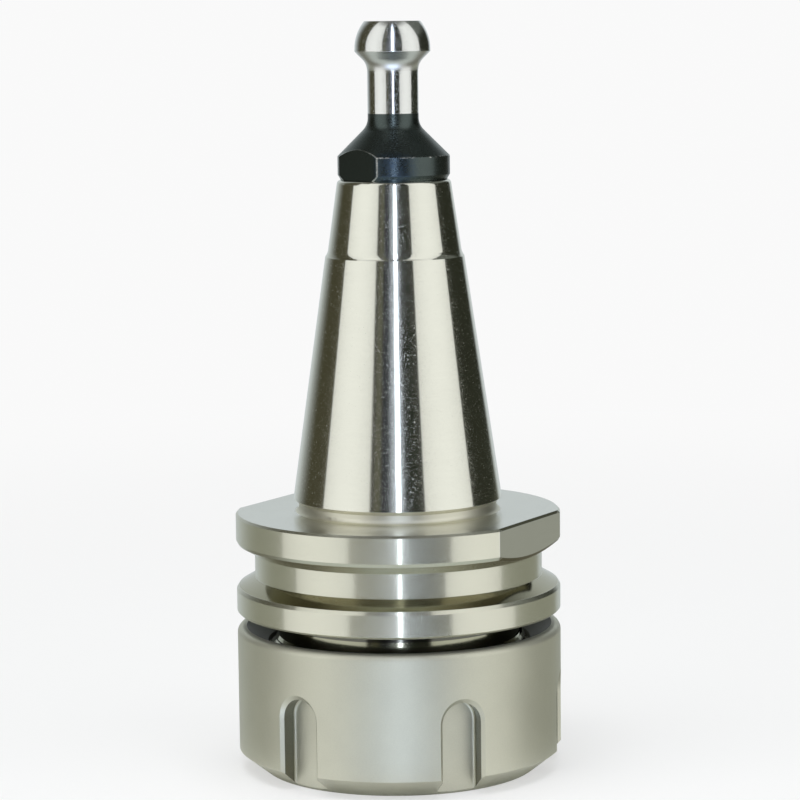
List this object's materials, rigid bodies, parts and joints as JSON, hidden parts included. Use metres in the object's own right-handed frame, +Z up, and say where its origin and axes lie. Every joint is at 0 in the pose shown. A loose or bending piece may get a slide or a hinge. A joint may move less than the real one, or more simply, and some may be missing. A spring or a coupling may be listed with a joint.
{
  "type": "collet chuck holder",
  "caption": "Tapered tool holder with a pull stud, a flange with a gripper groove, and a slotted nut that draws a slit spring collet into the nose to clamp a round tool shank.",
  "frame": {"origin": "centre of the nut's front face, on the axis, where the holder stands", "axes": "+Z up along the axis from the nut to the pull stud; -Y through the middle of one spanner slot of the nut"},
  "size_m": [0.05, 0.05, 0.1145],
  "materials": {
    "ground_steel": "hardened steel, ground to a mirror on the taper and bright on the flange",
    "stud_steel": "black oxide on the collar and cone, ground bright on the neck and head",
    "satin_nickel": "fine blasted satin under a thin nickel coat",
    "collet_steel": "fine ground spring steel"
  },
  "bodies": {
    "holder": {"holder_body": "ground_steel", "pull_stud": "stud_steel"},
    "collet": {"spring_collet": "collet_steel"},
    "nut": {"collet_nut": "satin_nickel"}
  },
  "joints": [
    {"name": "collet_draw", "type": "slide", "parent": "holder", "child": "collet", "axis": [0, 0, -1], "range_m": [0, 0.006]},
    {"name": "nut_turn", "type": "hinge", "parent": "collet", "child": "nut", "pos_m": [0, 0, 0], "axis": [0, 0, -1], "range_deg": [0, 1440]}
  ],
  "couplings": [
    {"joint": "collet_draw", "follows": "nut_turn", "m_per_rad": 0.00023873}
  ]
}
